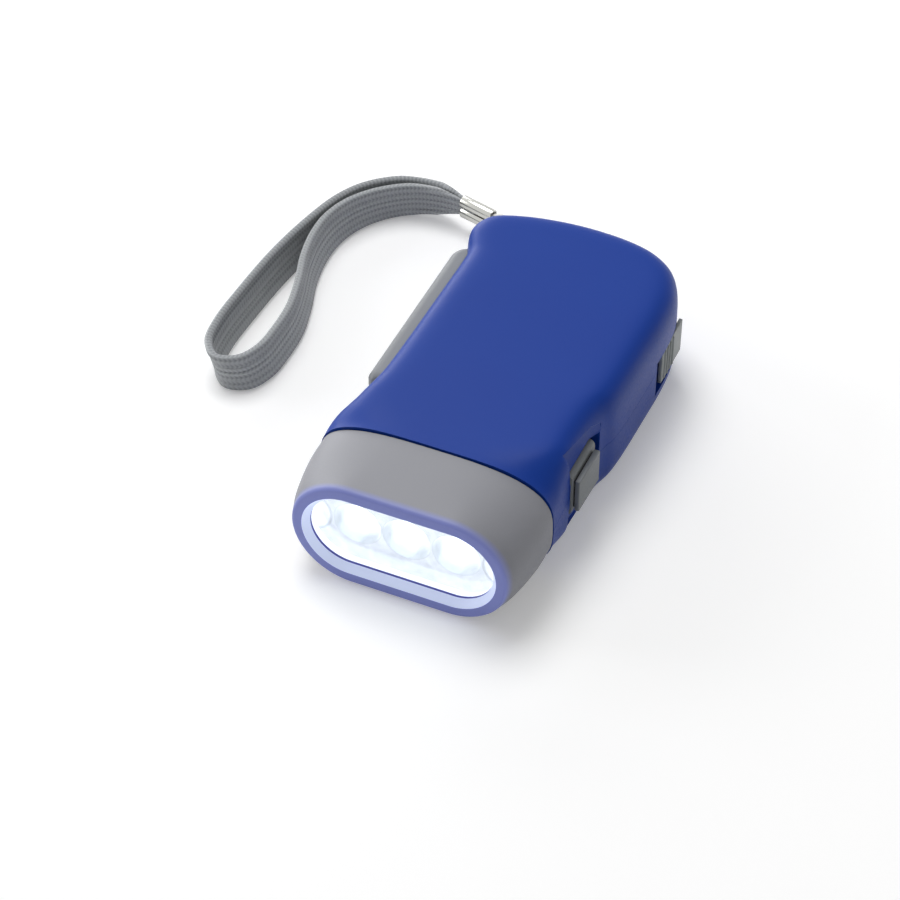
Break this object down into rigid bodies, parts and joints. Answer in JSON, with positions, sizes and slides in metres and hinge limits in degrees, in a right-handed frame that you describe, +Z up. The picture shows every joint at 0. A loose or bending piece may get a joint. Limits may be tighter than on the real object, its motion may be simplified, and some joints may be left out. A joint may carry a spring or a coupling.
{
  "type": "hand press dynamo torch",
  "caption": "Pocket torch charged by squeezing a sprung side lever, which spins a small generator through a gear train; with slide switch, lever lock and wrist strap.",
  "frame": {"origin": "on the underside, below the middle of the torch's own box, the strap left out", "axes": "+Z up out of the torch as it lies flat, -Y towards the lamp, +X towards the switch and lock side"},
  "size_m": [0.104, 0.1246, 0.028],
  "materials": {
    "blue_abs": "satin moulded ABS",
    "grey_abs": "matte moulded ABS",
    "dark_grey_abs": "matte moulded ABS",
    "clear_lens": "clear moulded polystyrene",
    "metallised_reflector": "vacuum metallised plastic",
    "led_epoxy": "clear epoxy",
    "board_laminate": "solder mask on laminate",
    "zinc_steel": "zinc plated steel",
    "white_acetal": "moulded acetal",
    "black_plastic": "moulded nylon",
    "ferrite": "ground ferrite",
    "copper_winding": "enamelled copper wire",
    "cell_can": "nickel plated steel can",
    "white_cord": "twisted nylon",
    "nickel_crimp": "nickel plated sheet",
    "grey_webbing": "knitted polyester webbing"
  },
  "bodies": {
    "case": {"lower_shell": "blue_abs", "upper_shell": "blue_abs", "bezel": "grey_abs", "lens": "clear_lens", "reflector": "metallised_reflector", "led_1": "led_epoxy", "led_2": "led_epoxy", "led_3": "led_epoxy", "led_board": "board_laminate", "case_screw_1": "zinc_steel", "case_screw_2": "zinc_steel", "case_screw_3": "zinc_steel", "case_screw_4": "zinc_steel", "lower_claw_plate": "zinc_steel", "upper_claw_plate": "zinc_steel", "coil": "copper_winding", "coin_cell_1": "cell_can", "coin_cell_2": "cell_can", "circuit_board": "board_laminate", "first_axle": "zinc_steel", "second_axle": "zinc_steel", "pivot_pin": "zinc_steel", "return_spring": "zinc_steel", "switch_body": "black_plastic", "strap_pin": "zinc_steel", "string": "white_cord", "crimp": "nickel_crimp", "strap": "grey_webbing"},
    "lever": {"squeeze_lever": "grey_abs", "sector_rack": "white_acetal"},
    "gear_one": {"first_gear": "white_acetal"},
    "gear_two": {"ratchet_pinion": "white_acetal", "second_wheel": "white_acetal", "pawl_1": "zinc_steel", "pawl_2": "zinc_steel"},
    "rotor": {"rotor_shaft": "zinc_steel", "rotor_pinion": "white_acetal", "rotor_magnet": "ferrite", "flywheel": "zinc_steel"},
    "lock": {"lock_slide": "dark_grey_abs"},
    "button": {"switch_button": "dark_grey_abs", "switch_toggle": "white_acetal"}
  },
  "joints": [
    {"name": "lever_swing", "type": "hinge", "parent": "case", "child": "lever", "pos_m": [-0.01982, -0.026, 0.014], "axis": [0, 0, 1], "range_deg": [0, 26], "deforming": ["return_spring"]},
    {"name": "gear_one_spin", "type": "hinge", "parent": "case", "child": "gear_one", "pos_m": [-0.00699, 0.02748, 0.0085], "axis": [0, 0, 1], "range_deg": [-5, 270]},
    {"name": "gear_two_spin", "type": "hinge", "parent": "case", "child": "gear_two", "pos_m": [0.00285, 0.01576, 0.0085], "axis": [0, 0, 1], "range_deg": [-535, 5]},
    {"name": "rotor_spin", "type": "hinge", "parent": "case", "child": "rotor", "pos_m": [-0.0015, -0.00047, 0.0085], "axis": [0, 0, 1], "range_deg": [-5, 1600]},
    {"name": "lock_slide_travel", "type": "slide", "parent": "case", "child": "lock", "axis": [0, -1, 0], "range_m": [0, 0.004]},
    {"name": "button_travel", "type": "slide", "parent": "case", "child": "button", "axis": [0, 1, 0], "range_m": [0, 0.002]}
  ],
  "couplings": [
    {"joint": "gear_one_spin", "follows": "lever_swing", "ratio": 10.167},
    {"joint": "gear_two_spin", "follows": "lever_swing", "ratio": -20.333},
    {"joint": "rotor_spin", "follows": "lever_swing", "ratio": 61}
  ]
}
